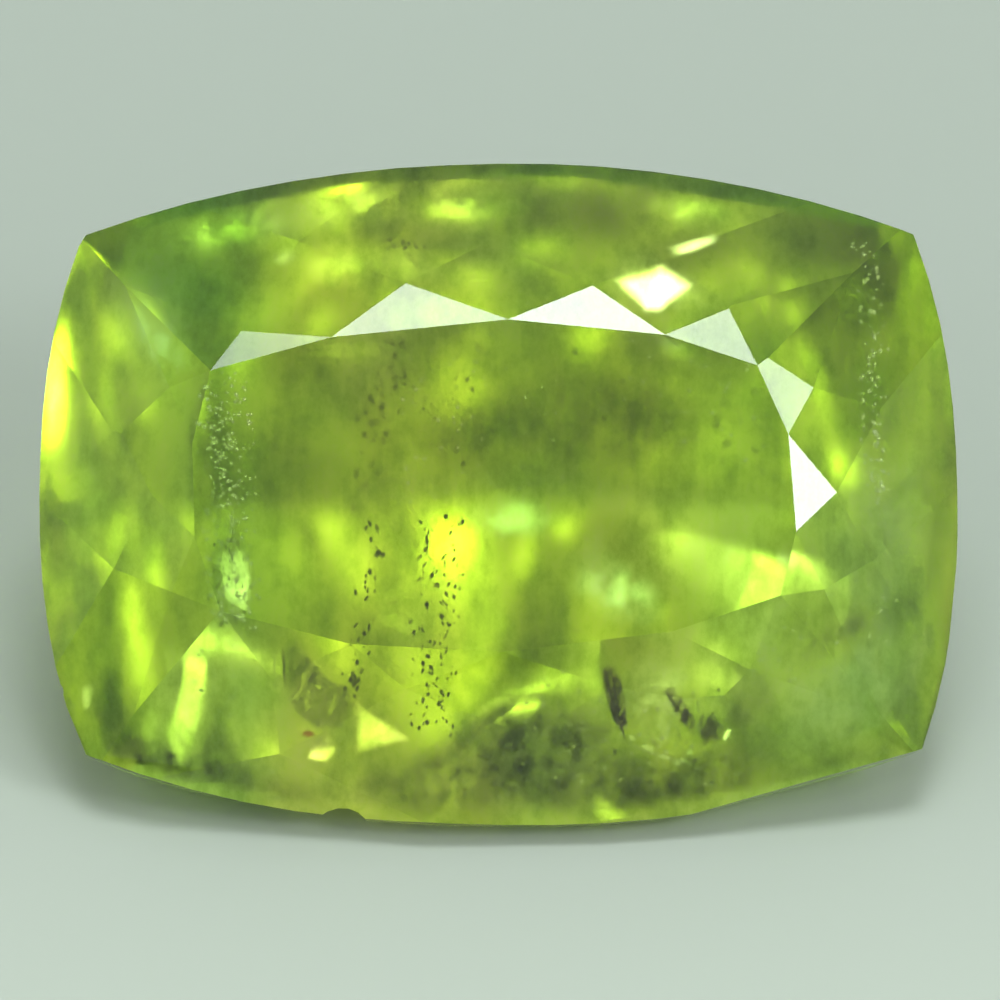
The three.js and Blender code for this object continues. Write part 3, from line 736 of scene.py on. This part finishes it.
def stream(name, path, half_width, depth, per_mm2, radius, stretch, tumble, clump, seed, material):
    """Drops along a path of pixels: half width in pixels, depth below the faces and drop radius in mm."""
    points, faces = [], []
    for (x, y), (x_next, y_next) in zip(path, path[1:]):
        length = math.hypot(x_next - x, y_next - y)
        steps = max(2, int(length / STREAM_STEP))
        across = (-(y_next - y) / length * half_width, (x_next - x) / length * half_width)
        for step in range(steps + 1):
            share = step / steps
            middle = (x + (x_next - x) * share, y + (y_next - y) * share)
            for side in (-1, 1):
                entry, inward, _ = sight_line((middle[0] + across[0] * side, middle[1] + across[1] * side))
                points.append(entry + inward * depth * MM)
            if step:
                last = len(points)
                faces.append((last - 4, last - 3, last - 1, last - 2))
    mesh = bpy.data.meshes.new(name)
    mesh.from_pydata(points, [], faces)
    bed = bpy.data.objects.new(name, mesh)
    bpy.context.scene.collection.objects.link(bed)
    growing = bed.modifiers.new("drops", "NODES")
    growing.node_group = drop_tree
    values = {
        "Drops per Square Metre": per_mm2 / MM ** 2, "Drop Radius": radius * MM, "Stretch": stretch,
        "Scatter": DROP_SCATTER * MM, "Clump Size": clump * MM, "Tumble": tumble, "Seed": seed,
        "Material": material,
    }
    for item in drop_tree.interface.items_tree:
        if item.in_out == "INPUT" and item.name in values:
            growing[item.identifier] = values[item.name]
    bpy.context.view_layer.update()
    settled_mesh = bpy.data.meshes.new_from_object(bed.evaluated_get(bpy.context.evaluated_depsgraph_get()))
    bed.modifiers.remove(growing)
    bed.data = settled_mesh
    bpy.data.meshes.remove(mesh)
    settled_mesh.name = name
    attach(bed, "root")


pale_drops = plain_material("fluid_drops", "#FFFFDC", 0.3)
yellow_drops = plain_material("yellow_fluid_drops", "#D8E860", 0.5)
dark_grains = plain_material("dark_mineral_grains", "#26280A", 0.7)
brown_flakes = plain_material("brown_mineral_flakes", "#54541A", 0.7)
ROUND = (1.0, 1.0, 1.0)
FLAT = (0.6, 1.7, 1.7)
# After its path each stream has its half width, depth, drops per square mm, drop radius, stretch, tumble in
# radians, clump size in mm, seed and material.
stream("drops_left_of_the_table", ((222, 372), (228, 470), (234, 625)),
       22, 0.3, 110, 0.030, ROUND, 3.0, 0.4, 3, pale_drops)
stream("drops_bigger_left", ((214, 420), (222, 520)),
       16, 0.3, 40, 0.040, ROUND, 3.0, 0.4, 23, pale_drops)
stream("drops_fine_in_the_table", ((470, 300), (480, 400), (480, 500)),
       80, 0.4, 14, 0.026, ROUND, 3.0, 0.8, 4, pale_drops)
stream("drops_right_end", ((866, 242), (872, 360), (876, 500)),
       10, 0.4, 90, 0.032, ROUND, 3.0, 0.5, 5, pale_drops)
stream("drops_yellow_right", ((690, 415), (790, 450)),
       50, 1.4, 12, 0.060, ROUND, 3.0, 1.0, 6, yellow_drops)
stream("drops_yellow_in_the_table", ((560, 380), (700, 450)),
       50, 1.4, 8, 0.045, ROUND, 3.0, 1.0, 26, yellow_drops)
stream("drops_low_middle", ((510, 735), (720, 730)),
       55, 0.5, 20, 0.030, ROUND, 3.0, 0.8, 7, pale_drops)
stream("drops_low_right", ((790, 700), (900, 600)),
       60, 0.4, 18, 0.030, ROUND, 3.0, 0.7, 8, pale_drops)
stream("drops_right_of_the_table", ((600, 380), (780, 400)),
       60, 0.5, 10, 0.028, ROUND, 3.0, 0.9, 9, pale_drops)
stream("drops_in_the_lower_left", ((215, 640), (225, 740)),
       16, 0.4, 50, 0.028, ROUND, 3.0, 0.6, 27, pale_drops)
stream("flakes_middle", ((446, 510), (438, 600), (430, 735)),
       20, 0.4, 46, 0.028, FLAT, 0.6, 0.6, 10, brown_flakes)
stream("flakes_middle_dark", ((440, 540), (432, 730)),
       20, 0.4, 40, 0.022, FLAT, 0.6, 0.6, 28, dark_grains)
stream("flakes_left_of_middle", ((380, 520), (362, 600), (352, 700)),
       9, 0.5, 70, 0.032, FLAT, 0.6, 0.6, 11, brown_flakes)
stream("flakes_deep_upper", ((396, 335), (376, 430), (368, 520)),
       14, 1.4, 50, 0.036, FLAT, 0.5, 0.8, 17, brown_flakes)
stream("flakes_deep_middle", ((470, 330), (460, 430), (450, 510)),
       20, 1.2, 24, 0.024, FLAT, 0.5, 0.8, 18, brown_flakes)
stream("grains_upper", ((412, 375), (432, 425)),
       12, 0.5, 60, 0.018, ROUND, 3.0, 0.4, 12, dark_grains)
stream("grains_top", ((390, 244), (425, 250)),
       12, 0.8, 60, 0.030, ROUND, 0.4, 0.6, 13, brown_flakes)
stream("grains_left", ((232, 545), (236, 618)),
       19, 0.3, 130, 0.016, FLAT, 0.5, 0.4, 14, dark_grains)
stream("grains_below_left", ((215, 625), (290, 635)),
       10, 0.4, 60, 0.014, ROUND, 3.0, 0.4, 29, dark_grains)
stream("grains_low", ((500, 745), (720, 740)),
       50, 1.0, 12, 0.026, ROUND, 3.0, 0.8, 15, dark_grains)
stream("grains_in_the_table", ((300, 450), (480, 470), (640, 460)),
       90, 0.6, 7, 0.012, ROUND, 3.0, 0.8, 16, dark_grains)

# The floor and the light: a pale card floor in a white tent, with soft boxes overhead and one at the right.
# The boxes are what the star facets mirror, so each stands where those facets look.
FLOOR_HALF_WIDTH = 1.5
FLOOR_COLOUR = "#A0A69C"
NEAR_FLOOR_PAINTED_LIGHT_COLOUR = "#B4BAAE"
FLOOR_GAP = 0.03
FAR_TONE_AT = 4.0
NEAR_TONE_AT = -14.0

floor_mesh = bpy.data.meshes.new("card_floor")
floor_mesh.from_pydata(
    [(x * FLOOR_HALF_WIDTH, y * FLOOR_HALF_WIDTH, -FLOOR_GAP * MM)
     for x, y in ((-1, -1), (1, -1), (1, 1), (-1, 1))],
    [], [(0, 1, 2, 3)])
card_floor = bpy.data.objects.new("card_floor", floor_mesh)
bpy.context.scene.collection.objects.link(card_floor)
pale_card, tree, output = new_material("pale_card")
place = add_node(tree, "ShaderNodeTexCoord")
floor_axes = add_node(tree, "ShaderNodeSeparateXYZ", inputs={"Vector": place.outputs["Object"]})
# The card is painted lighter towards the lens: painted light, for the brighter light on the near floor.
painted_light_nearness = add_node(tree, "ShaderNodeMapRange", inputs={
    "Value": floor_axes.outputs["Y"], "From Min": FAR_TONE_AT * MM, "From Max": NEAR_TONE_AT * MM,
})
floor_with_painted_light = add_node(tree, "ShaderNodeMix", {"data_type": "RGBA"}, {"Factor": painted_light_nearness.outputs["Result"]})
floor_with_painted_light.inputs[6].default_value = linear(FLOOR_COLOUR)
floor_with_painted_light.inputs[7].default_value = linear(NEAR_FLOOR_PAINTED_LIGHT_COLOUR)
card = add_node(tree, "ShaderNodeBsdfPrincipled", inputs={
    "Base Color": floor_with_painted_light.outputs[2], "Roughness": 0.7,
})
tree.links.new(card.outputs["BSDF"], output.inputs["Surface"])
floor_mesh.materials.append(pale_card)


LAMP_DISTANCE = 0.6
LAMP_COLOUR = (0.90, 0.98, 1.0)
TENT_RADIANCE = 0.6
TENT_COLOUR = (0.90, 1.0, 0.95, 1.0)


def outward(azimuth, elevation):
    """The unit direction at these angles in degrees; azimuth 0 is the lens's side and grows to the right."""
    turn, rise = math.radians(azimuth), math.radians(elevation)
    return Vector((math.sin(turn) * math.cos(rise), -math.cos(turn) * math.cos(rise), math.sin(rise)))


def soft_box(name, place, axis, wide, high, radiance):
    """A rectangular lamp with its back along an axis. The radiance is that of its face."""
    lamp_data = bpy.data.lights.new(name, "AREA")
    lamp_data.shape = "RECTANGLE"
    lamp_data.size, lamp_data.size_y = wide, high
    lamp_data.energy = radiance * math.pi * wide * high
    lamp_data.color = LAMP_COLOUR
    lamp = bpy.data.objects.new(name, lamp_data)
    bpy.context.scene.collection.objects.link(lamp)
    lamp.location = place
    lamp.rotation_mode = "QUATERNION"
    lamp.rotation_quaternion = axis.to_track_quat("Z", "Y")
    lamp.visible_camera = False


def standing_box(name, azimuth, elevation, wide, high, radiance):
    """A soft box that faces the stone from a direction, with its width and height in degrees."""
    axis = outward(azimuth, elevation)
    size = [2 * LAMP_DISTANCE * math.tan(math.radians(angle / 2)) for angle in (wide, high)]
    soft_box(name, lens_target + axis * LAMP_DISTANCE, axis, *size, radiance)


def hanging_box(name, left, right, near, far, radiance):
    """A soft box hung level over the stone, with its sides as shares of its height."""
    middle = Vector(((left + right) / 2, (near + far) / 2, 1.0)) * LAMP_DISTANCE
    size = ((right - left) * LAMP_DISTANCE, (far - near) * LAMP_DISTANCE)
    soft_box(name, lens_target + middle, Vector((0.0, 0.0, 1.0)), *size, radiance)


hanging_box("overhead_left_half", -0.15, 0.0, -0.10, 0.20, 10.5)
hanging_box("overhead_right_half", 0.0, 0.16, -0.10, 0.20, 17.0)
hanging_box("overhead_right_edge", 0.165, 0.30, 0.02, 0.20, 10.0)
hanging_box("overhead_left_edge", -0.27, -0.155, 0.02, 0.20, 6.0)
standing_box("right_box", 62, 38, 15, 13, 18.0)
standing_box("right_box_edge", 74, 49, 6, 8, 9.0)
standing_box("right_wall", 88, 17, 56, 30, 0.2)
standing_box("left_wall", -88, 17, 56, 30, 0.2)
standing_box("front_left_wall", -56, 46, 36, 26, 0.12)
standing_box("front_right_wall", 50, 46, 34, 26, 0.2)
standing_box("lamp_over_lens", 0, 61, 8, 6, 4.0)
standing_box("lamp_left_of_lens", -23, 50, 8, 8, 4.0)
standing_box("lamp_right_of_lens", 26, 49, 7, 7, 3.0)
standing_box("lamp_low_right", 35, 36, 9, 9, 2.5)
standing_box("lamp_behind", 163, 66, 7, 7, 5.0)

tent = bpy.data.worlds.new("white_tent")
tent.use_nodes = True
tree = tent.node_tree
tree.nodes.clear()
tent_light = add_node(tree, "ShaderNodeBackground", inputs={
    "Color": TENT_COLOUR, "Strength": TENT_RADIANCE,
})
add_node(tree, "ShaderNodeOutputWorld", inputs={"Surface": tent_light.outputs["Background"]})
bpy.context.scene.world = tent
bpy.context.scene.view_settings.view_transform = "Standard"
# Light turns many times between the facets before it leaves the stone, so its paths are long.
bpy.context.scene.cycles.max_bounces = 12
bpy.context.scene.cycles.glossy_bounces = 12
bpy.context.scene.cycles.transmission_bounces = 12
bpy.context.scene.cycles.transparent_max_bounces = 24
bpy.context.scene.cycles.adaptive_threshold = 0.06
bpy.context.scene.cycles.use_light_tree = False
